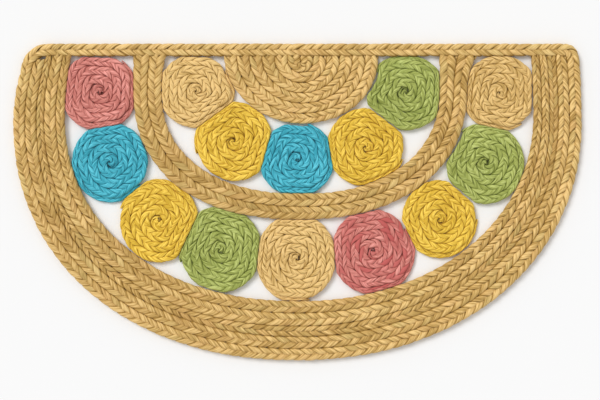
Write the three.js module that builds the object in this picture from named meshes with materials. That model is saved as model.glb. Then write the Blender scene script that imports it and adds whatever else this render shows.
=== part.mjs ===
// Half-round braided jute doormat, lying flat with its straight edge towards +Y.
// Five braid rows make the border, and the outermost one runs on round the corners as the straight edge.
// Two more rows make an arch inside the border, round coils of a narrower braid fill the spaces between them,
// and a half-round of nested rows sits against the middle of the straight edge.
// Millimetres, +Z up. The origin is the middle of the mat's footprint, on the floor.

import * as THREE from 'three';

const { clamp, lerp, smoothstep } = THREE.MathUtils;

// Driving sizes
const MAT_WIDTH = 700;
const MAT_DEPTH = 390;
const WIDE_BRAID_HEIGHT = 9.5;
const SUNK_BRAID_HEIGHT = 8.8;
const NARROW_BRAID_HEIGHT = 8;
const STRAIGHT_BRAID_WIDTH = 15;
const PIECE_GAP = 0.3;
const MERGE_STEP = 1e-4;

// Places that follow from the driving sizes
const HALF_WIDTH = MAT_WIDTH / 2;
const STRAIGHT_EDGE_Y = MAT_DEPTH / 2;
const FOOT_Y = -MAT_DEPTH / 2;
const STRAIGHT_BRAID_INNER_Y = STRAIGHT_EDGE_Y - STRAIGHT_BRAID_WIDTH;
const LEG_TOP_Y = STRAIGHT_BRAID_INNER_Y - PIECE_GAP;

// Steps along the rows and round the coils
const BORDER_STEPS = 48;
const ARCH_STEPS = 36;
const CORNER_STEPS = 4;
const STRAIGHT_STEPS = 4;
const COIL_STEPS = 24;
const HALF_ROUND_STEPS = 22;
const LEG_SHARE = 0.07;

// Colours of the dyed and undyed braid
const FINISHES = {
  natural: { colour: 0xcca660, roughness: 0.85 },
  yellow: { colour: 0xd8aa32, roughness: 0.85 },
  blue: { colour: 0x3fa0b4, roughness: 0.85 },
  green: { colour: 0x8fa04f, roughness: 0.85 },
  rose: { colour: 0xc46a66, roughness: 0.85 },
};

// Arched outlines: two legs that end at the spring line and a superelliptic foot below it.
// reach is a leg's distance from the middle, lean is how far its top tips inwards, fullness is the exponent.
const OUTLINES = {
  borderOuter: {
    middle: 0, spring: 98, foot: FOOT_Y,
    left: { reach: HALF_WIDTH, lean: 15.5, fullness: 2.14 },
    right: { reach: HALF_WIDTH, lean: 3.5, fullness: 2.1 },
  },
  borderInner: {
    middle: 1.5, spring: 107, foot: -122,
    left: { reach: 288, lean: 8, fullness: 2.16 },
    right: { reach: 289, lean: 3, fullness: 2.08 },
  },
  archOuter: {
    middle: 3.5, spring: 138, foot: -21.5,
    left: { reach: 205.5, lean: 0, fullness: 2.3 },
    right: { reach: 205.5, lean: -12, fullness: 2.22 },
  },
  archInner: {
    middle: 6, spring: 139.5, foot: 10.5,
    left: { reach: 173.5, lean: 5.5, fullness: 2.3 },
    right: { reach: 169.5, lean: 1.5, fullness: 2.22 },
  },
  halfRound: {
    middle: 3.5, spring: LEG_TOP_Y, foot: 96.5,
    left: { reach: 94, lean: 0, fullness: 1.88 },
    right: { reach: 96, lean: 0, fullness: 2.12 },
  },
};

// Border rows from the inside out. Each number is how far across the border the row's outer side lies.
const BORDER_ROWS = [
  { name: 'border_row_1', left: 0.17, foot: 0.2, right: 0.17, height: WIDE_BRAID_HEIGHT },
  { name: 'border_row_2', left: 0.4, foot: 0.42, right: 0.33, height: WIDE_BRAID_HEIGHT },
  { name: 'border_row_3', left: 0.55, foot: 0.6, right: 0.51, height: SUNK_BRAID_HEIGHT },
  { name: 'border_row_4', left: 0.77, foot: 0.8, right: 0.74, height: WIDE_BRAID_HEIGHT },
];

// Arch rows from the inside out, in the same way
const ARCH_ROWS = [
  { name: 'arch_row_1', left: 0.5, foot: 0.5, right: 0.5, height: WIDE_BRAID_HEIGHT },
  { name: 'arch_row_2', left: 1, foot: 1, right: 1, height: WIDE_BRAID_HEIGHT },
];

// Outer corner radii of the edge braid, and the small radius on its inner side
const CORNER_RADIUS = { left: 33, right: 18 };
const INNER_CORNER_RADIUS = 1;

// Cross-section of a braid row: across from its inner to its outer side, and up from the floor to its crown
const BRAID_SECTION = [
  { across: 0.05, up: 0 },
  { across: 0.95, up: 0 },
  { across: 1, up: 0.45 },
  { across: 0.83, up: 0.88 },
  { across: 0.5, up: 1 },
  { across: 0.17, up: 0.88 },
  { across: 0, up: 0.45 },
];

// Round coils: centre, radius before the neighbours press on it, height against width, colour,
// turns of the braid, and where the braid's end lies, in turns from +X
const COILS = [
  { name: 'outer_1', x: -244.5, y: 136, radius: 48, tall: 1.03, finish: 'rose', turns: 4, end: 0.4 },
  { name: 'outer_2', x: -230.5, y: 48.5, radius: 48.5, tall: 1.03, finish: 'blue', turns: 4, end: 0.15 },
  { name: 'outer_3', x: -171.5, y: -23, radius: 50.5, tall: 1.04, finish: 'yellow', turns: 4, end: 0.7 },
  { name: 'outer_4', x: -95.5, y: -58.5, radius: 52.5, tall: 1.03, finish: 'green', turns: 4.5, end: 0.3 },
  { name: 'outer_5', x: -1.5, y: -69.5, radius: 52.5, tall: 1.11, finish: 'natural', turns: 4.5, end: 0.55 },
  { name: 'outer_6', x: 93.5, y: -61, radius: 52.5, tall: 1.03, finish: 'rose', turns: 4.5, end: 0.85 },
  { name: 'outer_7', x: 175.5, y: -21, radius: 47.5, tall: 1.03, finish: 'yellow', turns: 4, end: 0.25 },
  { name: 'outer_8', x: 231, y: 47.5, radius: 49.5, tall: 1.03, finish: 'green', turns: 4, end: 0.6 },
  { name: 'outer_9', x: 249.5, y: 134, radius: 47, tall: 1, finish: 'natural', turns: 4, end: 0.1 },
  { name: 'inner_1', x: -124.5, y: 137, radius: 46.5, tall: 0.97, finish: 'natural', turns: 4, end: 0.35 },
  { name: 'inner_2', x: -79, y: 74.5, radius: 49, tall: 1.02, finish: 'yellow', turns: 4, end: 0.8 },
  { name: 'inner_3', x: -1, y: 53, radius: 46.5, tall: 0.99, finish: 'blue', turns: 4, end: 0.45 },
  { name: 'inner_4', x: 84.5, y: 67.5, radius: 48.5, tall: 1, finish: 'yellow', turns: 4, end: 0.2 },
  { name: 'inner_5', x: 133, y: 135, radius: 48.5, tall: 0.93, finish: 'green', turns: 4, end: 0.65 },
];

// Relief of the coils and the half-round, and the rows nested in the half-round
const RELIEF_DEPTH = 2;
const SIDE_HEIGHT = 3.5;
const SIDE_INSET = 1.2;
const SHOULDER_INSET = 1.6;
const HALF_ROUND_ROWS = 6;

// A closed solid through a row of cross-sections, each a closed ring with the same number of points.
// Points that fall on one place become one vertex, and the faces that this flattens are left out.
// The ends are 'capped' with flat faces, 'joined' by one more step, or 'shared' where both sections match.
function solidThrough(sections, ends) {
  const vertices = [];
  const known = new Map();
  const vertexAt = (point) => {
    const key = point.toArray().map((value) => Math.round(value / MERGE_STEP)).join();
    if (!known.has(key)) known.set(key, vertices.push(point) - 1);
    return known.get(key);
  };
  const rings = sections.map((section) => section.map(vertexAt));
  const faces = [];
  const addFace = (a, b, c) => {
    if (a !== b && b !== c && c !== a) faces.push([a, b, c]);
  };
  const addStrip = (ring, next) => ring.forEach((corner, i) => {
    const after = (i + 1) % ring.length;
    addFace(corner, ring[after], next[after]);
    addFace(corner, next[after], next[i]);
  });
  rings.slice(1).forEach((ring, i) => addStrip(rings[i], ring));
  if (ends === 'joined') addStrip(rings.at(-1), rings[0]);
  if (ends === 'capped') {
    const [first, last] = [rings[0], rings.at(-1)];
    capFaces(sections[0]).forEach(([a, b, c]) => addFace(first[c], first[b], first[a]));
    capFaces(sections.at(-1)).forEach(([a, b, c]) => addFace(last[a], last[b], last[c]));
  }
  const geometry = new THREE.BufferGeometry();
  const coordinates = vertices.flatMap((vertex) => vertex.toArray());
  geometry.setAttribute('position', new THREE.Float32BufferAttribute(coordinates, 3));
  geometry.setIndex(facesOutwards(vertices, faces).flat());
  geometry.computeVertexNormals();
  return geometry;
}

// Triangles that close an upright cross-section, numbered as its points are and wound in the same sense
function capFaces(section) {
  const [start] = section;
  const far = section.reduce((a, b) => (b.distanceTo(start) > a.distanceTo(start) ? b : a));
  const along = new THREE.Vector2(far.x - start.x, far.y - start.y).normalize();
  const flat = section.map((point) => {
    const offset = point.clone().sub(start);
    return new THREE.Vector2(offset.x * along.x + offset.y * along.y, point.z);
  });
  const { isClockWise, triangulateShape } = THREE.ShapeUtils;
  return triangulateShape(flat, []).map((face) => (
    isClockWise(face.map((i) => flat[i])) === isClockWise(flat) ? face : face.toReversed()
  ));
}

// The faces, all turned over if together they enclose a negative volume
function facesOutwards(vertices, faces) {
  const volume = faces.reduce((sum, [a, b, c]) => {
    const normal = new THREE.Vector3().crossVectors(vertices[b], vertices[c]);
    return sum + vertices[a].dot(normal);
  }, 0);
  return volume < 0 ? faces.map((face) => face.toReversed()) : faces;
}

// A point on an outline's foot, from the left end of its spring line (sweep 0) to the right end (sweep 1)
function footPoint(outline, sweep) {
  const side = sweep < 0.5 ? outline.left : outline.right;
  const sign = sweep < 0.5 ? -1 : 1;
  const turn = Math.min(sweep, 1 - sweep) * Math.PI;
  const power = 2 / side.fullness;
  const x = outline.middle + sign * side.reach * Math.cos(turn) ** power;
  const y = lerp(outline.spring, outline.foot, Math.sin(turn) ** power);
  return new THREE.Vector2(x, y);
}

// A point on an arched outline, from the top of its left leg (share 0) to the top of its right leg (share 1)
function archPoint(outline, share, legTops = { left: LEG_TOP_Y, right: LEG_TOP_Y }) {
  const fromTop = Math.min(share, 1 - share);
  if (fromTop >= LEG_SHARE) return footPoint(outline, (share - LEG_SHARE) / (1 - 2 * LEG_SHARE));
  const hand = share < 0.5 ? 'left' : 'right';
  const sign = share < 0.5 ? -1 : 1;
  const y = lerp(legTops[hand], outline.spring, fromTop / LEG_SHARE);
  const rise = (y - outline.spring) / (LEG_TOP_Y - outline.spring);
  const { reach, lean } = outline[hand];
  return new THREE.Vector2(outline.middle + sign * (reach - lean * rise ** 2), y);
}

// How far across its band a row's side lies at a share of the way along it
function acrossAt(row, share) {
  const towardsFoot = smoothstep(Math.min(share, 1 - share), 0, 0.5);
  return lerp(share < 0.5 ? row.left : row.right, row.foot, towardsFoot);
}

// The cross-section of a braid row between a point on its inner side and one on its outer side
function braidSection(inner, outer, height) {
  const trim = PIECE_GAP / 2 / inner.distanceTo(outer);
  return BRAID_SECTION.map(({ across, up }) => {
    const place = inner.clone().lerp(outer, lerp(trim, 1 - trim, across));
    return new THREE.Vector3(place.x, place.y, up * height);
  });
}

// A braid row that follows a band from leg to leg, between the sides given by two rows of its table
function bandRow(innerOutline, outerOutline, below, row, steps) {
  const sections = Array.from({ length: steps + 1 }, (_, i) => {
    const share = i / steps;
    const inner = archPoint(innerOutline, share);
    const outer = archPoint(outerOutline, share);
    const near = inner.clone().lerp(outer, below ? acrossAt(below, share) : 0);
    const far = inner.clone().lerp(outer, acrossAt(row, share));
    return braidSection(near, far, row.height);
  });
  return solidThrough(sections, 'capped');
}

// A point on a quarter-round corner, from its leg (sweep 0) to the straight edge (sweep 1)
function cornerPoint(leg, edgeY, sign, sweep) {
  const radius = edgeY - leg.y;
  const angle = sweep * Math.PI / 2;
  const x = leg.x - sign * radius * (1 - Math.cos(angle));
  return new THREE.Vector2(x, leg.y + radius * Math.sin(angle));
}

// The edge braid: the border's outermost row, both corners and the straight edge, in one closed loop
function edgeBraid() {
  const lastRow = BORDER_ROWS.at(-1);
  const outerTops = {
    left: STRAIGHT_EDGE_Y - CORNER_RADIUS.left,
    right: STRAIGHT_EDGE_Y - CORNER_RADIUS.right,
  };
  const innerTop = STRAIGHT_BRAID_INNER_Y - INNER_CORNER_RADIUS;
  const innerTops = { left: innerTop, right: innerTop };
  const innerAt = (share) => archPoint(OUTLINES.borderInner, share, innerTops)
    .lerp(archPoint(OUTLINES.borderOuter, share, innerTops), acrossAt(lastRow, share));
  const outerAt = (share) => archPoint(OUTLINES.borderOuter, share, outerTops);
  const innerCorner = (share, sign, sweep) => (
    cornerPoint(innerAt(share), STRAIGHT_BRAID_INNER_Y, sign, sweep)
  );
  const outerCorner = (share, sign, sweep) => cornerPoint(outerAt(share), STRAIGHT_EDGE_Y, sign, sweep);
  const pairs = [];
  for (let i = 0; i <= BORDER_STEPS; i++) {
    pairs.push([innerAt(i / BORDER_STEPS), outerAt(i / BORDER_STEPS)]);
  }
  for (let i = 1; i <= CORNER_STEPS; i++) {
    pairs.push([innerCorner(1, 1, i / CORNER_STEPS), outerCorner(1, 1, i / CORNER_STEPS)]);
  }
  for (let i = 1; i <= STRAIGHT_STEPS; i++) {
    const share = i / STRAIGHT_STEPS;
    pairs.push([
      innerCorner(1, 1, 1).lerp(innerCorner(0, -1, 1), share),
      outerCorner(1, 1, 1).lerp(outerCorner(0, -1, 1), share),
    ]);
  }
  for (let i = CORNER_STEPS - 1; i > 0; i--) {
    pairs.push([innerCorner(0, -1, i / CORNER_STEPS), outerCorner(0, -1, i / CORNER_STEPS)]);
  }
  const sections = pairs.map(([inner, outer]) => braidSection(inner, outer, WIDE_BRAID_HEIGHT));
  return solidThrough(sections, 'joined');
}

// The sides that a coil can press against, each as a line of points
const FIXED_SIDES = [
  ...[OUTLINES.borderInner, OUTLINES.archOuter, OUTLINES.archInner].map((outline) => (
    Array.from({ length: BORDER_STEPS + 1 }, (_, i) => archPoint(outline, i / BORDER_STEPS))
  )),
  Array.from({ length: BORDER_STEPS + 1 }, (_, i) => footPoint(OUTLINES.halfRound, i / BORDER_STEPS)),
  [-HALF_WIDTH, HALF_WIDTH].map((x) => new THREE.Vector2(x, STRAIGHT_BRAID_INNER_Y)),
];

// How far a ray runs before it comes within the gap of a line of points
function clearRun(origin, direction, line) {
  const runs = line.slice(1).map((end, i) => {
    const start = line[i];
    const stretch = end.clone().sub(start);
    const facing = direction.cross(stretch);
    const offset = start.clone().sub(origin);
    const run = offset.cross(stretch) / facing;
    const share = offset.cross(direction) / facing;
    const meets = run > 0 && share >= 0 && share <= 1;
    return meets ? run - PIECE_GAP * stretch.length() / Math.abs(facing) : Infinity;
  });
  return Math.min(...runs);
}

// How far a coil reaches from its centre in one direction, flattened where a neighbour presses on it
function coilReach(coil, direction) {
  const centre = new THREE.Vector2(coil.x, coil.y);
  const stretch = Math.sqrt(coil.tall);
  const free = coil.radius / Math.hypot(direction.x * stretch, direction.y / stretch);
  const limits = FIXED_SIDES.map((line) => clearRun(centre, direction, line));
  for (const other of COILS.filter((candidate) => candidate !== coil)) {
    const between = new THREE.Vector2(other.x, other.y).sub(centre);
    const apart = between.length();
    const share = (apart ** 2 + coil.radius ** 2 - other.radius ** 2) / (2 * apart);
    const facing = direction.dot(between) / apart;
    if (facing > 0) limits.push((share - PIECE_GAP / 2) / facing);
  }
  return Math.min(free, ...limits);
}

// A coil: one braid wound from the middle outwards, its turns raised on the top as a spiral of ridges.
// Grooves and ridges take turns. Those before the spiral's start lie at the middle, those past its end
// at the rim.
function coilSolid(coil) {
  const lineCount = 2 * coil.turns + 3;
  const sections = Array.from({ length: COIL_STEPS + 1 }, (_, i) => {
    const angle = (coil.end + i / COIL_STEPS) * 2 * Math.PI;
    const direction = new THREE.Vector2(Math.cos(angle), Math.sin(angle));
    const reach = coilReach(coil, direction);
    const at = (distance, z) => (
      new THREE.Vector3(coil.x + direction.x * distance, coil.y + direction.y * distance, z)
    );
    const top = Array.from({ length: lineCount }, (_unused, line) => {
      const wound = clamp((line / 2 + i / COIL_STEPS - 1) / coil.turns, 0, 1);
      const onRidge = line % 2 === 1 && wound > 0 && wound < 1;
      return at(wound * (reach - SHOULDER_INSET), NARROW_BRAID_HEIGHT - (onRidge ? 0 : RELIEF_DEPTH));
    });
    return [at(0, 0), at(reach - SIDE_INSET, 0), at(reach, SIDE_HEIGHT), ...top.toReversed()];
  });
  return solidThrough(sections, 'shared');
}

// The half-round: nested rows against the straight braid, raised on the top as ridges and grooves
function halfRound() {
  const outline = OUTLINES.halfRound;
  const centre = new THREE.Vector2(outline.middle, outline.spring);
  const sections = Array.from({ length: HALF_ROUND_STEPS + 1 }, (_, i) => {
    const rim = footPoint(outline, i / HALF_ROUND_STEPS).sub(centre);
    const reach = rim.length();
    const at = (distance, z) => {
      const place = centre.clone().addScaledVector(rim, distance / reach);
      return new THREE.Vector3(place.x, place.y, z);
    };
    const top = Array.from({ length: 2 * HALF_ROUND_ROWS + 1 }, (_unused, line) => {
      const distance = (line / (2 * HALF_ROUND_ROWS)) * (reach - SHOULDER_INSET);
      return at(distance, NARROW_BRAID_HEIGHT - (line % 2 === 1 ? 0 : RELIEF_DEPTH));
    });
    return [at(0, 0), at(reach - SIDE_INSET, 0), at(reach, SIDE_HEIGHT), ...top.toReversed()];
  });
  return solidThrough(sections, 'capped');
}

const materials = Object.fromEntries(Object.entries(FINISHES).map(([name, { colour, roughness }]) => (
  [name, new THREE.MeshStandardMaterial({ name, color: colour, roughness, metalness: 0 })]
)));

const mat = new THREE.Group();
mat.name = 'half_round_doormat';

function addPiece(name, geometry, finish) {
  const piece = new THREE.Mesh(geometry, materials[finish].clone());
  piece.name = name;
  mat.add(piece);
}

addPiece('edge_braid', edgeBraid(), 'natural');
BORDER_ROWS.forEach((row, i) => {
  const solid = bandRow(OUTLINES.borderInner, OUTLINES.borderOuter, BORDER_ROWS[i - 1], row, BORDER_STEPS);
  addPiece(row.name, solid, 'natural');
});
ARCH_ROWS.forEach((row, i) => {
  const solid = bandRow(OUTLINES.archInner, OUTLINES.archOuter, ARCH_ROWS[i - 1], row, ARCH_STEPS);
  addPiece(row.name, solid, 'natural');
});
addPiece('half_round', halfRound(), 'natural');
COILS.forEach((coil) => addPiece(`coil_${coil.name}`, coilSolid(coil), coil.finish));

export default mat;
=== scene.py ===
"""Looks of a half-round braided jute doormat: every row and coil is plaited from three strands of jute.

Metres, +Z up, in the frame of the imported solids. The mat lies flat with its straight edge towards +Y.
"""

import math
from collections import namedtuple

import bpy
import numpy as np
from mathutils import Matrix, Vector


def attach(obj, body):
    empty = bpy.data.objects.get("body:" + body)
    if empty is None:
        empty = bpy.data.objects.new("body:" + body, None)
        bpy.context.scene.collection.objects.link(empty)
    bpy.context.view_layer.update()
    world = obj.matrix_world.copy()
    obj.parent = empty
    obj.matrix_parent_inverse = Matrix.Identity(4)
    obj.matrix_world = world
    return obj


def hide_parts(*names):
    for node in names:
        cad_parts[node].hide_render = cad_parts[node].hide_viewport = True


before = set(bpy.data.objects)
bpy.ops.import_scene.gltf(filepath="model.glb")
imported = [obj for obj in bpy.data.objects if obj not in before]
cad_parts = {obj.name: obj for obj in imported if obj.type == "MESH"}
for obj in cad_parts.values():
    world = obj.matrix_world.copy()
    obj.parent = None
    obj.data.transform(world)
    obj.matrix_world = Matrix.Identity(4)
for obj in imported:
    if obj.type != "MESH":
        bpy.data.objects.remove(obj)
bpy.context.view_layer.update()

# Sizes of the mat and its braids
HALF_WIDTH = 0.350
STRAIGHT_EDGE_Y = 0.195
FOOT_Y = -0.195
STRAIGHT_BRAID_INNER_Y = 0.180
LEG_TOP_Y = 0.1797
PIECE_GAP = 0.0003
WIDE_HEIGHT = 0.0095
SUNK_HEIGHT = 0.0088
COIL_HEIGHT = 0.0080
LEFT_CORNER_RADIUS = 0.033
RIGHT_CORNER_RADIUS = 0.018

# Share of an arched route that each of its legs takes up, steps along the routes, directions round a coil,
# and the least cosine to divide by
LEG_SHARE = 0.07
ROUTE_STEPS = 900
CORNER_STEPS = 60
COIL_DIRECTIONS = 180
LEAST_FACING = 1e-6

# Ends of the rows, which are tucked under the straight braid
END_RUN = 0.004
TUCK_LENGTH = 0.008
TUCKED_HEIGHT = 0.75
CORNER_TUCK = 0.008

# Paler and darker braids: how far the tints of their lobes are moved
EDGE_SHADE = 0.35
HALF_ROUND_SHADE = 0.5

# Hand-made unevenness, which changes from knot to knot along a braid and from lobe to lobe, and the first
# seed of each group of braids
KNOTS_PER_WEAVE = 2
LOBES_PER_WEAVE = 2
PHASE_WANDER = 0.05
WIDTH_WANDER = 0.03
LOBE_LENGTH_SPREAD = 0.06
LOBE_LIFT_SPREAD = 0.0003
EDGE_SEED = 1
BORDER_SEED = 10
ARCH_SEED = 20
HALF_ROUND_SEED = 40
COIL_SEED = 60

Side = namedtuple("Side", "reach lean fullness")
Outline = namedtuple("Outline", "middle spring foot left right")
Row = namedtuple("Row", "name left foot right height forward left_tuck shade")
Coil = namedtuple("Coil", "name x y radius tall finish turns end forward shade lean")
Route = namedtuple("Route", "distance table closed")
Weave = namedtuple(
    "Weave", "lobe rings points overlap reach lift thickness tilt scallop crease side_line contrast"
)
Braid = namedtuple(
    "Braid", "route weave way station spacing side half lobe tall thick locked_in locked_out"
)
Strand = namedtuple("Strand", "rings along around tint hue gap closed")

# A route's table: middle x and y, direction to the outer side x and y, and half the width in this column
HALF_WIDTH_COLUMN = 4

# Weaves: length of a lobe along the braid; rings in one full weave of a strand and points round a ring;
# half the length that a strand takes up along the braid, against its lobe; how far it reaches across at a
# side with a neighbour, against the half width; lift, half thickness and tilt of the strands, against the
# braid's height; depth of the scallops at the folds; widths of the painted shade lines between lobes and
# along the sides, against the painted crease shade width; contrast of the lobes
STRANDS = 3
WIDE_WEAVE = Weave(0.0134, 24, 12, 0.56, 1.05, 0.22, 0.15, 0.14, 0.16, 0.8, 0.35, 0.8)
NESTED_WEAVE = WIDE_WEAVE._replace(lobe=0.0125, rings=20)
COIL_WEAVE = Weave(0.0130, 24, 12, 0.56, 1.06, 0.16, 0.15, 0.11, 0.22, 0.6, 0.3, 0.5)

# Strands: flatness of their rise and fullness of their section; how sharply they turn back at a fold, and
# how far a fold leans along the braid; reach at a side with no neighbour, against the half width, and the
# share of the scallops there; how much of a scallop stands out at the middle of a section, the rest being
# drawn in at its edges; where along a strand its first lobe starts, in half weaves
LIFT_FLATNESS = 0.75
SECTION_FULLNESS = 0.8
SWING_SHARPNESS = 0.95
FOLD_SLANT = 1.2
OPEN_REACH = 1.01
OPEN_SCALLOP = 0.35
SCALLOP_OUT = 0.5
FORWARD_LOBE_START = 0.75
BACKWARD_LOBE_START = 0.25

# Arched outlines: two legs that end at the spring line and a superelliptic foot below it
BORDER_OUTER = Outline(0, 0.098, FOOT_Y, Side(HALF_WIDTH, 0.0155, 2.14), Side(HALF_WIDTH, 0.0035, 2.1))
BORDER_INNER = Outline(0.0015, 0.107, -0.122, Side(0.288, 0.008, 2.16), Side(0.289, 0.003, 2.08))
ARCH_OUTER = Outline(0.0035, 0.138, -0.0215, Side(0.2055, 0, 2.3), Side(0.2055, -0.012, 2.22))
ARCH_INNER = Outline(0.006, 0.1395, 0.0105, Side(0.1735, 0.0055, 2.3), Side(0.1695, 0.0015, 2.22))
HALF_ROUND = Outline(0.0035, LEG_TOP_Y, 0.0965, Side(0.094, 0, 1.88), Side(0.096, 0, 2.12))

# Border rows and arch rows from the inside out: how far across its band each row's outer side lies at the
# left, the foot and the right, its height, the way its plait points, how far its left end stops short, and
# how pale it is
BORDER_ROWS = [
    Row("border_row_1", 0.17, 0.20, 0.17, WIDE_HEIGHT, True, 0, -0.25),
    Row("border_row_2", 0.40, 0.42, 0.33, WIDE_HEIGHT, True, 0, 0.3),
    Row("border_row_3", 0.55, 0.60, 0.51, SUNK_HEIGHT, False, 0, -0.6),
    Row("border_row_4", 0.77, 0.80, 0.74, WIDE_HEIGHT, True, CORNER_TUCK, 0),
]
ARCH_ROWS = [
    Row("arch_row_1", 0.5, 0.5, 0.5, WIDE_HEIGHT, True, 0, -0.2),
    Row("arch_row_2", 1, 1, 1, WIDE_HEIGHT, True, 0, -0.2),
]

# Round coils: centre, radius before the neighbours press on it, height against width, finish, turns of the
# braid, where the braid starts in turns from +X, the way its plait points, how pale it is and its lean in hue
COILS = [
    Coil("coil_outer_1", -0.2445, 0.1360, 0.0480, 1.03, "rose", 4.0, 0.40, True, -0.1, 0),
    Coil("coil_outer_2", -0.2305, 0.0485, 0.0485, 1.03, "blue", 4.0, 0.15, True, 0, 0),
    Coil("coil_outer_3", -0.1715, -0.0230, 0.0505, 1.04, "yellow", 4.0, 0.70, False, 0, 0),
    Coil("coil_outer_4", -0.0955, -0.0585, 0.0525, 1.03, "green", 4.5, 0.30, True, 0, 0),
    Coil("coil_outer_5", -0.0015, -0.0695, 0.0525, 1.11, "natural", 4.5, 0.55, True, 1.0, 0),
    Coil("coil_outer_6", 0.0935, -0.0610, 0.0525, 1.03, "rose", 4.5, 0.85, False, -0.2, -0.9),
    Coil("coil_outer_7", 0.1755, -0.0210, 0.0475, 1.03, "yellow", 4.0, 0.25, True, 0, 0),
    Coil("coil_outer_8", 0.2310, 0.0475, 0.0495, 1.03, "green", 4.0, 0.60, True, 0, 0),
    Coil("coil_outer_9", 0.2495, 0.1340, 0.0470, 1.00, "natural", 4.0, 0.10, False, 0.6, 0),
    Coil("coil_inner_1", -0.1245, 0.1370, 0.0465, 0.97, "natural", 4.0, 0.35, True, 1.2, 0),
    Coil("coil_inner_2", -0.0790, 0.0745, 0.0490, 1.02, "yellow", 4.0, 0.80, True, 0, 0),
    Coil("coil_inner_3", -0.0010, 0.0530, 0.0465, 0.99, "blue", 4.0, 0.45, False, 0, 0),
    Coil("coil_inner_4", 0.0845, 0.0675, 0.0485, 1.00, "yellow", 4.0, 0.20, True, 0, 0),
    Coil("coil_inner_5", 0.1330, 0.1350, 0.0485, 0.93, "green", 4.0, 0.65, True, 0, 0),
]

# Ends of the coils: turns that the start skips and that the tail adds, how low both lie and over what run,
# how wide the tail is, and how many turns before the end the outer side starts to lie free
COIL_START = 0.3
COIL_START_RUN = 0.060
COIL_START_HEIGHT = 0.7
COIL_TAIL = 0.75
COIL_TAIL_RUN = 0.200
COIL_TAIL_HEIGHT = 0.6
COIL_TAIL_WIDTH = 0.55
COIL_RIM_TURNS = 0.5

# The half-round: rows nested round a hairpin that lies just inside the straight edge
NESTED_ROWS = 6
NESTED_HEIGHT = 0.0085
HAIRPIN_Y = 0.172

# Camera over the middle of the picture, which is this wide at the height of the braids
CAMERA_X = 0.00308
CAMERA_Y = 0.00246
CAMERA_HEIGHT = 1.6
PICTURE_WIDTH = 0.7394
PICTURE_LEVEL = 0.005
SENSOR_WIDTH = 36

# Creases: how far from the next strand the painted brown shade line ends and how strong it is, how far the
# painted shade round it spreads, and how much paler the crests are painted, as a painted highlight
PAINTED_CREASE_SHADE_WIDTH = 0.0010
PAINTED_CREASE_SHADE_STRENGTH = 0.8
PAINTED_SHADE_SPREAD = 0.0030
PAINTED_CREST_LIGHT_AND_SHADE = 0.3

# Floor and light
FLOOR_SIZE = 12
FLOOR_LEVEL = -0.0004
FLOOR_COLOUR = (0.88, 0.88, 0.88, 1)
SKY_STRENGTH = 0.66
SUN_STRENGTH = 1.75
SUN_SPREAD = math.radians(28)
SUN_PLACE = Vector((-0.62, 0.55, 1.0))

# Jute finishes: ramp from the deepest fibres to the bleached ones, the painted shade colour for the creases
# between strands and rows, and the colours that single lobes lean to
FINISHES = {
    "natural": {
        "ramp": [(0.0, (0.26, 0.13, 0.017)), (0.4, (0.49, 0.3, 0.08)), (0.7, (0.6, 0.38, 0.12)),
                 (1.0, (0.85, 0.58, 0.23))],
        "crease": (0.31, 0.165, 0.018),
        "warm": (0.78, 0.44, 0.18),
        "cool": (0.56, 0.50, 0.20),
    },
    "yellow": {
        "ramp": [(0.0, (0.36, 0.19, 0.0)), (0.4, (0.62, 0.38, 0.023)), (0.7, (0.75, 0.48, 0.044)),
                 (1.0, (1, 0.7, 0.11))],
        "crease": (0.4, 0.2, 0.008),
        "warm": (0.88, 0.44, 0.04),
        "cool": (0.72, 0.56, 0.10),
    },
    "blue": {
        "ramp": [(0.0, (0.0, 0.15, 0.21)), (0.4, (0.027, 0.32, 0.41)), (0.7, (0.05, 0.4, 0.51)),
                 (1.0, (0.12, 0.61, 0.74))],
        "crease": (0.01, 0.14, 0.2),
        "warm": (0.14, 0.42, 0.50),
        "cool": (0.03, 0.36, 0.56),
    },
    "green": {
        "ramp": [(0.0, (0.12, 0.15, 0.008)), (0.4, (0.27, 0.31, 0.06)), (0.7, (0.35, 0.4, 0.09)),
                 (1.0, (0.54, 0.6, 0.19))],
        "crease": (0.13, 0.16, 0.018),
        "warm": (0.48, 0.44, 0.13),
        "cool": (0.26, 0.42, 0.13),
    },
    "rose": {
        "ramp": [(0.0, (0.28, 0.05, 0.039)), (0.4, (0.52, 0.16, 0.13)), (0.7, (0.63, 0.22, 0.18)),
                 (1.0, (0.89, 0.37, 0.32))],
        "crease": (0.28, 0.055, 0.042),
        "warm": (0.76, 0.30, 0.22),
        "cool": (0.52, 0.105, 0.095),
    },
}

# Fibres: scales of the noise along and round a strand, and what each kind of noise adds to the shade
STREAK_SCALE = (75, 640, 1)
FIBRE_SCALE = (140, 2300, 1)
MOTTLE_SCALE = 26
NOISE_DETAIL = 2
NOISE_MIDDLE = 0.5
BASE_SHADE = 0.54
TINT_SHADE = 0.22
STREAK_SHADE = 2.0
FIBRE_SHADE = 1.4
MOTTLE_SHADE = 0.35
LEAN = 0.42
FIBRE_DEPTH = 0.00035
STREAK_RELIEF = 0.6
FIBRE_RELIEF = 0.4
LEAST_ROUGHNESS = 0.62
FIBRE_ROUGHNESS = 0.3
SPECULAR = 0.35
SHEEN = 0.12
SHEEN_ROUGHNESS = 0.45

# What the strands carry for their material: the tint and hue of their lobes and the distance to painted shade
ATTRIBUTES = ("tint", "hue", "gap")

# Maps: edge left free round a strip of the bake map, radius of a strand's end there, and how many times its
# radius in the map along the strands goes into the girth
BAKE_MARGIN = 0.06
BAKED_END_RADIUS = 0.3
END_GIRTH_SHARE = 8


def smooth(share):
    """Eases a share from 0 to 1."""
    share = np.clip(share, 0, 1)
    return share * share * (3 - 2 * share)


def mix(start, end, share):
    """The value at a share of the way from start to end."""
    return start + (end - start) * share


# Routes of the braids

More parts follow.
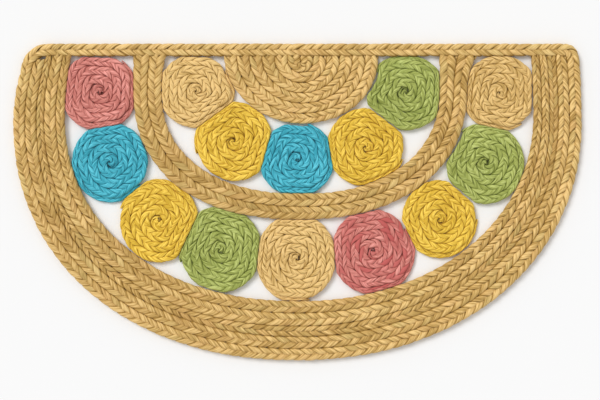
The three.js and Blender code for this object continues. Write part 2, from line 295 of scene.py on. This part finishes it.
def foot_points(outline, sweep):
    """Points on an outline's foot, from its spring line at the left (sweep 0) to the right (sweep 1)."""
    on_left = sweep < 0.5
    reach = np.where(on_left, outline.left.reach, outline.right.reach)
    roundness = 2 / np.where(on_left, outline.left.fullness, outline.right.fullness)
    turn = np.minimum(sweep, 1 - sweep) * np.pi
    x = outline.middle + np.where(on_left, -1, 1) * reach * np.clip(np.cos(turn), 0, 1) ** roundness
    y = mix(outline.spring, outline.foot, np.clip(np.sin(turn), 0, 1) ** roundness)
    return np.column_stack((x, y))


def arch_points(outline, share, left_top=LEG_TOP_Y, right_top=LEG_TOP_Y):
    """Points on an arched outline, from the top of its left leg (share 0) to that of its right (share 1)."""
    on_left = share < 0.5
    from_top = np.minimum(share, 1 - share)
    foot = foot_points(outline, np.clip((share - LEG_SHARE) / (1 - 2 * LEG_SHARE), 0, 1))
    leg_y = mix(np.where(on_left, left_top, right_top), outline.spring, from_top / LEG_SHARE)
    rise = (leg_y - outline.spring) / max(LEG_TOP_Y - outline.spring, END_RUN)
    reach = np.where(on_left, outline.left.reach, outline.right.reach)
    lean = np.where(on_left, outline.left.lean, outline.right.lean)
    leg_x = outline.middle + np.where(on_left, -1, 1) * (reach - lean * rise ** 2)
    on_foot = (from_top >= LEG_SHARE)[:, None]
    return np.where(on_foot, foot, np.column_stack((leg_x, leg_y)))


def across_at(row, share):
    """How far across its band a row's outer side lies at each share of the way along it."""
    towards_foot = smooth(np.minimum(share, 1 - share) / 0.5)
    return mix(np.where(share < 0.5, row.left, row.right), row.foot, towards_foot)[:, None]


def route_between(near, far, closed=False):
    """The way of a braid between its sides: middle, direction to the outer side, and half the width."""
    if closed:
        near = np.vstack((near, near[:1]))
        far = np.vstack((far, far[:1]))
    middle = (near + far) / 2
    across = far - near
    width = np.linalg.norm(across, axis=1)
    steps = np.linalg.norm(np.diff(middle, axis=0), axis=1)
    distance = np.concatenate(([0], np.cumsum(steps)))
    return Route(distance, np.column_stack((middle, across / width[:, None], width / 2)), closed)


def band_route(inner, outer, below, row):
    """The way of a row that follows a band from leg to leg, outside the row below it."""
    share = np.linspace(0, 1, ROUTE_STEPS)
    tops = (LEG_TOP_Y + END_RUN - row.left_tuck, LEG_TOP_Y + END_RUN)
    inner_side = arch_points(inner, share, *tops)
    outer_side = arch_points(outer, share, *tops)
    near = mix(inner_side, outer_side, across_at(below, share)) if below else inner_side
    far = mix(inner_side, outer_side, across_at(row, share))
    return route_between(near, far)


def corner_points(leg, middle_x, edge_y, sweep):
    """Points on a quarter-round corner, from its leg (sweep 0) to the straight edge (sweep 1)."""
    angle = sweep * np.pi / 2
    x = mix(middle_x, leg[0], np.cos(angle))
    return np.column_stack((x, mix(leg[1], edge_y, np.sin(angle))))


def edge_route():
    """The way of the edge braid: the border's outermost row, both corners and the straight edge."""
    share = np.linspace(0, 1, ROUTE_STEPS)
    tops = (STRAIGHT_EDGE_Y - LEFT_CORNER_RADIUS, STRAIGHT_EDGE_Y - RIGHT_CORNER_RADIUS)
    far = arch_points(BORDER_OUTER, share, *tops)
    near = mix(arch_points(BORDER_INNER, share, *tops), far, across_at(BORDER_ROWS[-1], share))
    left_x = far[0, 0] + LEFT_CORNER_RADIUS
    right_x = far[-1, 0] - RIGHT_CORNER_RADIUS
    sweep = np.linspace(0, 1, CORNER_STEPS)[1:]
    straight_x = np.linspace(right_x, left_x, ROUTE_STEPS)[1:-1]
    sides = []
    for side, edge_y in ((near, STRAIGHT_BRAID_INNER_Y), (far, STRAIGHT_EDGE_Y)):
        sides.append(np.vstack((
            side,
            corner_points(side[-1], right_x, edge_y, sweep),
            np.column_stack((straight_x, np.full(len(straight_x), edge_y))),
            corner_points(side[0], left_x, edge_y, sweep[::-1]),
        )))
    return route_between(*sides, closed=True)


def clear_runs(origin, directions, line):
    """How far rays run before they come within the gap of a line of points."""
    start = line[:-1]
    stretch = line[1:] - start
    offset = start - origin
    facing = directions[:, :1] * stretch[:, 1] - directions[:, 1:] * stretch[:, 0]
    run = (offset[:, 0] * stretch[:, 1] - offset[:, 1] * stretch[:, 0]) / facing
    share = (offset[:, 0] * directions[:, 1:] - offset[:, 1] * directions[:, :1]) / facing
    meets = (run > 0) & (share >= 0) & (share <= 1)
    clear = run - PIECE_GAP * np.linalg.norm(stretch, axis=1) / np.abs(facing)
    return np.where(meets, clear, np.inf).min(axis=1)


SIDE_SHARES = np.linspace(0, 1, COIL_DIRECTIONS)
STRAIGHT_SIDE = np.array([(-HALF_WIDTH, STRAIGHT_BRAID_INNER_Y), (HALF_WIDTH, STRAIGHT_BRAID_INNER_Y)])
FIXED_SIDES = [arch_points(outline, SIDE_SHARES) for outline in (BORDER_INNER, ARCH_OUTER, ARCH_INNER)]
FIXED_SIDES += [foot_points(HALF_ROUND, SIDE_SHARES), STRAIGHT_SIDE]


def coil_reach(coil, sides, neighbours):
    """How far a coil reaches from its centre in every direction, flattened where something presses."""
    angle = np.linspace(0, 2 * np.pi, COIL_DIRECTIONS + 1)
    directions = np.column_stack((np.cos(angle), np.sin(angle)))
    centre = np.array((coil.x, coil.y))
    stretch = math.sqrt(coil.tall)
    reach = coil.radius / np.hypot(directions[:, 0] * stretch, directions[:, 1] / stretch)
    for line in sides:
        reach = np.minimum(reach, clear_runs(centre, directions, line))
    for other in neighbours:
        between = np.array((other.x, other.y)) - centre
        apart = np.linalg.norm(between)
        share = (apart ** 2 + coil.radius ** 2 - other.radius ** 2) / (2 * apart)
        facing = directions @ between / apart
        limit = np.where(facing > 0, (share - PIECE_GAP / 2) / np.maximum(facing, LEAST_FACING), np.inf)
        reach = np.minimum(reach, limit)
    return angle, reach


def coil_route(coil, sides, neighbours):
    """The way of a coil's braid, wound from the middle outwards, with a tail that thins out at the rim."""
    angle, reach = coil_reach(coil, sides, neighbours)
    wound = np.linspace(COIL_START, coil.turns + COIL_TAIL, ROUTE_STEPS)
    heading = (coil.end + wound) * 2 * np.pi
    radius = np.interp(heading % (2 * np.pi), angle, reach)[:, None]
    direction = np.column_stack((np.cos(heading), np.sin(heading)))
    outer = np.clip(wound / coil.turns, 0, 1)[:, None]
    inner = np.clip((wound - 1) / coil.turns, 0, 1 - COIL_TAIL_WIDTH / coil.turns)[:, None]
    centre = np.array((coil.x, coil.y))
    return route_between(centre + direction * inner * radius, centre + direction * outer * radius)


def nested_side(number):
    """The outer side of one of the half-round's nested rows, counted from the hairpin outwards."""
    fraction = (number + 1) / NESTED_ROWS
    sides = [part._replace(reach=part.reach * fraction) for part in (HALF_ROUND.left, HALF_ROUND.right)]
    spring = mix(HAIRPIN_Y, HALF_ROUND.spring, fraction)
    outline = Outline(HALF_ROUND.middle, spring, mix(HAIRPIN_Y, HALF_ROUND.foot, fraction), *sides)
    return arch_points(outline, np.linspace(0, 1, ROUTE_STEPS), LEG_TOP_Y + END_RUN, LEG_TOP_Y + END_RUN)


# Plaiting

def wander(share, knots, random, closed):
    """A smooth random line between -1 and 1 through even knots, whose ends meet on a closed route."""
    heights = random.uniform(-1, 1, knots + 1)
    if closed:
        heights[-1] = heights[0]
    place = share * knots
    before = np.minimum(place.astype(int), knots - 1)
    return mix(heights[before], heights[before + 1], smooth(place - before))


def lobe_values(place, lobes, random):
    """A random value between -1 and 1 for each lobe of a strand, eased from lobe to lobe."""
    heights = random.uniform(-1, 1, lobes)
    before = np.floor(place).astype(int)
    return mix(heights[before % lobes], heights[(before + 1) % lobes], smooth(place - before))


def along_path(points, closed):
    """Unit directions along a line of points."""
    if closed:
        direction = np.roll(points, -1, axis=0) - np.roll(points, 1, axis=0)
    else:
        direction = np.gradient(points, axis=0)
    return direction / np.linalg.norm(direction, axis=1)[:, None]


def power(value, exponent):
    """A power that keeps the sign."""
    return np.sign(value) * np.abs(value) ** exponent


def laid(route, station, share):
    """Plan positions at stations along a route, at shares of the way from its middle to its outer side."""
    period = route.distance[-1] if route.closed else None
    x, y, out_x, out_y, half = (
        np.interp(station, route.distance, column, period=period) for column in route.table.T
    )
    return np.stack((x + out_x * half * share, y + out_y * half * share), axis=-1)


def heights_along(route, station, height, coiled):
    """Height of a braid along its route, lower where its ends are tucked in."""
    to_end = route.distance[-1] - station
    if coiled:
        height = height * mix(COIL_START_HEIGHT, 1, smooth(station / COIL_START_RUN))
        return height * mix(COIL_TAIL_HEIGHT, 1, smooth(to_end / COIL_TAIL_RUN))
    if route.closed:
        return np.full(len(station), height)
    return height * mix(TUCKED_HEIGHT, 1, smooth(np.minimum(station, to_end) / TUCK_LENGTH))


def folded_strand(braid, turn, lobes, random, shade, lean):
    """One flat strand of a braid.

    It folds over at one side of the braid, runs on top to the middle, where the next strand covers it, and
    goes on below to its fold at the other side.
    """
    weave = braid.weave
    place = turn / np.pi - (FORWARD_LOBE_START if braid.way > 0 else BACKWARD_LOBE_START)
    tint, hue, length_change, lift = (lobe_values(place, lobes, random) for _ in range(4))

    # The strand's way across the braid and up and down in it
    fold_height = (1 - weave.lift) * braid.tall - braid.thick
    wave = -braid.way * power(np.sin(2 * turn), LIFT_FLATNESS)
    rise = wave * np.where(wave > 0, weave.lift * braid.tall, fold_height - braid.thick)
    swing = np.arcsin(SWING_SHARPNESS * np.sin(turn)) / math.asin(SWING_SHARPNESS)
    centre_height = fold_height + rise + LOBE_LIFT_SPREAD * lift
    centre = np.column_stack(((braid.side - braid.thick) * swing, centre_height))
    step = along_path(centre, braid.route.closed)

    # Its section, wide along the braid and thin across its way
    around = np.arange(weave.points) / weave.points * 2 * np.pi - np.pi / 2
    along_section = power(np.cos(around), SECTION_FULLNESS)
    up_section = power(np.sin(around), SECTION_FULLNESS)
    tilt = -braid.way * weave.tilt * braid.tall * np.cos(turn) ** 2
    reach = weave.overlap * braid.lobe * (1 + LOBE_LENGTH_SPREAD * length_change)
    at_fold = np.sin(turn)[:, None] ** 2
    onward = reach[:, None] * along_section
    across = centre[:, :1] - (step[:, 1] * braid.thick)[:, None] * up_section
    locked = np.where(across < 0, braid.locked_in, braid.locked_out)
    scallop = weave.scallop * np.where(locked, 1, OPEN_SCALLOP)
    across *= np.where(locked, weave.reach, OPEN_REACH)
    across *= 1 + scallop * at_fold * (SCALLOP_OUT - along_section ** 2)
    up = centre[:, 1:] + (step[:, 0] * braid.thick)[:, None] * up_section + tilt[:, None] * along_section
    slant = braid.way * FOLD_SLANT * (np.abs(across) - np.abs(centre[:, :1])) * at_fold
    plan = laid(braid.route, braid.station[:, None] + onward - slant, across / braid.half[:, None])

    # How far its points lie from the next strand or from the neighbour's side, where the painted crease shade
    # lies
    length = braid.route.distance[-1]
    to_next = (braid.lobe[:, None] / 2 - np.abs(onward)) / weave.crease
    to_side = np.where(locked, braid.side[:, None] - np.abs(across), length) / weave.side_line

    steps = np.hypot(np.linalg.norm(np.diff(centre, axis=0), axis=1), braid.spacing)
    girth = math.pi * np.mean(reach + braid.thick)
    all_round = np.ones(weave.points)
    return Strand(
        np.dstack((plan, np.maximum(up, 0))),
        np.concatenate(([0], np.cumsum(steps), [steps.sum() + steps[-1]])),
        np.linspace(0, girth, weave.points + 1),
        np.outer(weave.contrast * tint + shade, all_round),
        np.outer(weave.contrast * hue + lean, all_round),
        np.minimum(to_next, to_side),
        braid.route.closed,
    )


def plait(route, weave, height, forward, seed, shade, open_from, coiled=False, lean=0.0):
    """Three flat strands plaited along a route.

    From the shares of its way in open_from on, the braid's inner and outer side have no neighbour.
    """
    random = np.random.default_rng(seed)
    length = route.distance[-1]
    weaves = max(2, round(length / (STRANDS * weave.lobe)))
    steps = weaves * weave.rings
    share = np.arange(steps + (0 if route.closed else 1)) / steps
    station = share * length
    half = np.interp(station, route.distance, route.table[:, HALF_WIDTH_COLUMN])
    knots = KNOTS_PER_WEAVE * weaves
    side = half * (1 + WIDTH_WANDER * wander(share, knots, random, route.closed))
    phase = weaves * share + PHASE_WANDER * wander(share, knots, random, route.closed)
    lobe = 1 / (STRANDS * np.gradient(phase, station))
    tall = heights_along(route, station, height, coiled)
    thick = weave.thickness * tall
    locked = ((share < opening)[:, None] for opening in open_from)
    way = 1 if forward else -1
    braid = Braid(route, weave, way, station, length / steps, side, half, lobe, tall, thick, *locked)
    turns = (2 * np.pi * (phase + number / STRANDS) for number in range(STRANDS))
    return [folded_strand(braid, turn, LOBES_PER_WEAVE * weaves, random, shade, lean) for turn in turns]


# Pieces

def step_count(strand):
    """How many steps from ring to ring a strand has."""
    return len(strand.rings) - (0 if strand.closed else 1)


def bake_rows(strands):
    """Rows that the strips of the strands fill in the bake map, and steps in each row."""
    steps = sum(step_count(strand) for strand in strands)
    girth = np.mean([strand.around[-1] for strand in strands])
    step_length = np.mean(np.concatenate([np.diff(strand.along) for strand in strands]))
    rows = max(1, round(math.sqrt(steps * step_length / girth)))
    return rows, math.ceil(steps / rows)


def strand_faces(strands):
    """Vertices and faces of strands, and where the corners of the faces lie in the maps."""
    vertices, faces, strand_map, bake_map = [], [], [], []
    bake_count, row_steps = bake_rows(strands)
    first = 0
    steps_done = 0
    for strand in strands:
        rings, points = strand.rings.shape[:2]
        steps = step_count(strand)
        step, point = (grid.ravel() for grid in np.mgrid[0:steps, 0:points])
        next_ring = (step + 1) % rings * points
        after = (point + 1) % points
        this_ring = step * points
        quads = np.column_stack((this_ring + point, this_ring + after, next_ring + after, next_ring + point))
        vertices.append(strand.rings.reshape(-1, 3))
        faces.extend((quads + first).tolist())

        along = strand.along[np.column_stack((step, step, step + 1, step + 1))]
        around = strand.around[np.column_stack((point, point + 1, point + 1, point))]
        strand_map.append(np.stack((along, around), axis=2).reshape(-1, 2))
        row, place = np.divmod(steps_done + step, row_steps)
        bake_x = (np.column_stack((place, place, place + 1, place + 1)) + 0.5) / (row_steps + 1)
        share = np.column_stack((point, point + 1, point + 1, point)) / points
        bake_y = (row[:, None] + mix(BAKE_MARGIN, 1 - BAKE_MARGIN, share)) / (bake_count + 1)
        bake_map.append(np.stack((bake_x, bake_y), axis=2).reshape(-1, 2))

        if not strand.closed:
            end_place = np.array((0.5, (bake_count + 0.5) / (bake_count + 1)))
            for ring, corners in ((0, np.arange(points)[::-1]), (rings - 1, np.arange(points))):
                faces.append((first + ring * points + corners).tolist())
                circle = 2 * np.pi * corners / points
                spot = np.column_stack((np.cos(circle), np.sin(circle)))
                strand_map.append(spot * strand.around[-1] / END_GIRTH_SHARE)
                bake_map.append(end_place + spot * BAKED_END_RADIUS / (bake_count + 1))
        first += rings * points
        steps_done += steps
    return np.vstack(vertices), faces, {"strand": np.vstack(strand_map), "OFBake": np.vstack(bake_map)}


def braid_piece(name, node, finish, strands):
    """One object of plaited strands that stands for a CAD node."""
    vertices, faces, maps = strand_faces(strands)
    mesh = bpy.data.meshes.new(name)
    mesh.from_pydata(vertices.tolist(), [], faces)
    for map_name, places in maps.items():
        layer = mesh.uv_layers.new(name=map_name)
        layer.data.foreach_set("uv", places.astype(np.float32).ravel())
    for attribute_name in ATTRIBUTES:
        values = np.concatenate([getattr(strand, attribute_name).ravel() for strand in strands])
        attribute = mesh.attributes.new(attribute_name, "FLOAT", "POINT")
        attribute.data.foreach_set("value", values.astype(np.float32))
    mesh.shade_smooth()
    mesh.materials.append(materials[finish])
    piece = bpy.data.objects.new(name, mesh)
    bpy.context.scene.collection.objects.link(piece)
    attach(piece, "root")
    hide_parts(node)


# Materials

class Wire:
    """An output of a material's nodes. Arithmetic on it adds Math nodes, and add() adds any other node."""

    def __init__(self, tree, socket=None):
        self.tree = tree
        self.socket = socket

    def add(self, kind, settings, sockets, output=0):
        node = self.tree.nodes.new(kind)
        for name, value in settings.items():
            if name == "stops":
                set_stops(node.color_ramp, value)
            else:
                setattr(node, name, value)
        for name, value in sockets.items():
            if isinstance(value, Wire):
                self.tree.links.new(value.socket, node.inputs[name])
            else:
                node.inputs[name].default_value = value
        return Wire(self.tree, node.outputs[output]) if node.outputs else None

    def math(self, operation, first, second):
        return self.add("ShaderNodeMath", {"operation": operation}, {0: first, 1: second})

    def __add__(self, other):
        return self.math("ADD", self, other)

    def __sub__(self, other):
        return self.math("SUBTRACT", self, other)

    def __rsub__(self, other):
        return self.math("SUBTRACT", other, self)

    def __mul__(self, other):
        return self.math("MULTIPLY", self, other)

    __radd__ = __add__
    __rmul__ = __mul__


def set_stops(ramp, stops):
    """Gives a colour ramp its stops."""
    while len(ramp.elements) < len(stops):
        ramp.elements.new(1)
    for element, (position, colour) in zip(ramp.elements, stops):
        element.position = position
        element.color = (*colour, 1)


def jute_material(name, finish):
    """Jute fibres along the strands, paler and darker lobe by lobe, with painted shade down in the creases
    and a painted highlight on the crests.
    """
    material = bpy.data.materials.new(name)
    material.use_nodes = True
    tree = material.node_tree
    tree.nodes.clear()
    start = Wire(tree)
    along = start.add("ShaderNodeUVMap", {"uv_map": "strand"}, {})
    place = start.add("ShaderNodeTexCoord", {}, {}, "Object")
    tint, hue, gap = (
        start.add("ShaderNodeAttribute", {"attribute_name": attribute_name}, {}, "Fac")
        for attribute_name in ATTRIBUTES
    )

    def noise(vector, scale):
        sockets = {"Vector": vector, "Scale": scale, "Detail": NOISE_DETAIL}
        return start.add("ShaderNodeTexNoise", {}, sockets, "Fac")

    def fibre_noise(scale):
        return noise(start.add("ShaderNodeVectorMath", {"operation": "MULTIPLY"}, {0: along, 1: scale}), 1)

    def eased(end):
        easing = {"interpolation_type": "SMOOTHSTEP"}
        return start.add("ShaderNodeMapRange", easing, {"Value": gap, "From Max": end})

    streaks = fibre_noise(STREAK_SCALE)
    fibres = fibre_noise(FIBRE_SCALE)
    mottle = noise(place, MOTTLE_SCALE)
    # painted highlight on the crests and painted shade towards the creases, by the distance to a crease
    shade = (BASE_SHADE + TINT_SHADE * tint + PAINTED_CREST_LIGHT_AND_SHADE * (eased(PAINTED_SHADE_SPREAD) - 0.5)
             + STREAK_SHADE * (streaks - NOISE_MIDDLE) + FIBRE_SHADE * (fibres - NOISE_MIDDLE)
             + MOTTLE_SHADE * (mottle - NOISE_MIDDLE))
    base = start.add("ShaderNodeValToRGB", {"stops": finish["ramp"]}, {"Fac": shade})
    leaning = hue * hue * hue * LEAN
    amounts = {
        "warm": start.math("MAXIMUM", leaning, 0),
        "cool": start.math("MAXIMUM", 0 - leaning, 0),
        # painted shade: a dark brown line where one strand meets the next or the neighbouring row
        "crease": PAINTED_CREASE_SHADE_STRENGTH * (1 - eased(PAINTED_CREASE_SHADE_WIDTH)),
    }
    for tone, amount in amounts.items():
        colours = {0: amount, 6: base, 7: (*finish[tone], 1)}
        base = start.add("ShaderNodeMix", {"data_type": "RGBA"}, colours, 2)
    height = STREAK_RELIEF * streaks + FIBRE_RELIEF * fibres
    relief = start.add("ShaderNodeBump", {}, {"Strength": 1, "Distance": FIBRE_DEPTH, "Height": height})
    shader = start.add("ShaderNodeBsdfPrincipled", {}, {
        "Base Color": base,
        "Roughness": LEAST_ROUGHNESS + FIBRE_ROUGHNESS * fibres,
        "Sheen Weight": SHEEN,
        "Sheen Roughness": SHEEN_ROUGHNESS,
        "Specular IOR Level": SPECULAR,
        "Normal": relief,
    })
    start.add("ShaderNodeOutputMaterial", {}, {"Surface": shader})
    return material


# Camera, floor and light

def set_camera():
    """A camera that looks straight down."""
    camera = bpy.data.objects.new("camera", bpy.data.cameras.new("camera"))
    camera.location = (CAMERA_X, CAMERA_Y, CAMERA_HEIGHT)
    camera.data.sensor_width = SENSOR_WIDTH
    camera.data.lens = SENSOR_WIDTH * (CAMERA_HEIGHT - PICTURE_LEVEL) / PICTURE_WIDTH
    bpy.context.scene.collection.objects.link(camera)
    bpy.context.scene.camera = camera


def set_floor():
    """A pale floor just under the mat."""
    bpy.ops.mesh.primitive_plane_add(size=FLOOR_SIZE, location=(0, 0, FLOOR_LEVEL))
    floor = bpy.context.object
    floor.name = "floor"
    material = bpy.data.materials.new("pale_floor")
    material.use_nodes = True
    shader = material.node_tree.nodes["Principled BSDF"]
    shader.inputs["Base Color"].default_value = FLOOR_COLOUR
    shader.inputs["Roughness"].default_value = 1
    shader.inputs["Specular IOR Level"].default_value = 0
    floor.data.materials.append(material)


def set_light():
    """A white sky and a broad sun from the upper left."""
    world = bpy.data.worlds.new("studio")
    world.use_nodes = True
    background = world.node_tree.nodes["Background"]
    background.inputs["Color"].default_value = (1, 1, 1, 1)
    background.inputs["Strength"].default_value = SKY_STRENGTH
    bpy.context.scene.world = world
    sun = bpy.data.objects.new("sun", bpy.data.lights.new("sun", "SUN"))
    sun.data.energy = SUN_STRENGTH
    sun.data.angle = SUN_SPREAD
    sun.rotation_euler = SUN_PLACE.to_track_quat("Z", "Y").to_euler()
    bpy.context.scene.collection.objects.link(sun)
    bpy.context.scene.view_settings.view_transform = "Standard"


set_camera()
set_floor()
set_light()
materials = {name: jute_material(f"{name}_jute", finish) for name, finish in FINISHES.items()}

edge_strands = plait(edge_route(), WIDE_WEAVE, WIDE_HEIGHT, True, EDGE_SEED, EDGE_SHADE, (1, 0))
braid_piece("edge_braid_strands", "edge_braid", "natural", edge_strands)
bands = (
    (BORDER_SEED, BORDER_INNER, BORDER_OUTER, BORDER_ROWS),
    (ARCH_SEED, ARCH_INNER, ARCH_OUTER, ARCH_ROWS),
)
for seed, inner, outer, rows in bands:
    for number, row in enumerate(rows):
        route = band_route(inner, outer, rows[number - 1] if number else None, row)
        open_from = (int(number > 0), int(row is not ARCH_ROWS[-1]))
        strands = plait(route, WIDE_WEAVE, row.height, row.forward, seed + number, row.shade, open_from)
        braid_piece(f"{row.name}_strands", row.name, "natural", strands)

half_round = []
for number in range(NESTED_ROWS):
    route = route_between(nested_side(number - 1), nested_side(number))
    open_from = (1, int(number < NESTED_ROWS - 1))
    seed = HALF_ROUND_SEED + number
    half_round += plait(route, NESTED_WEAVE, NESTED_HEIGHT, True, seed, HALF_ROUND_SHADE, open_from)
braid_piece("half_round_strands", "half_round", "natural", half_round)

for number, coil in enumerate(COILS):
    route = coil_route(coil, FIXED_SIDES, [other for other in COILS if other is not coil])
    open_from = (1, ((coil.turns - COIL_RIM_TURNS) / (coil.turns + COIL_TAIL)) ** 2)
    seed = COIL_SEED + number
    strands = plait(
        route, COIL_WEAVE, COIL_HEIGHT, coil.forward, seed, coil.shade, open_from, coiled=True, lean=coil.lean
    )
    braid_piece(f"{coil.name}_strands", coil.name, coil.finish, strands)
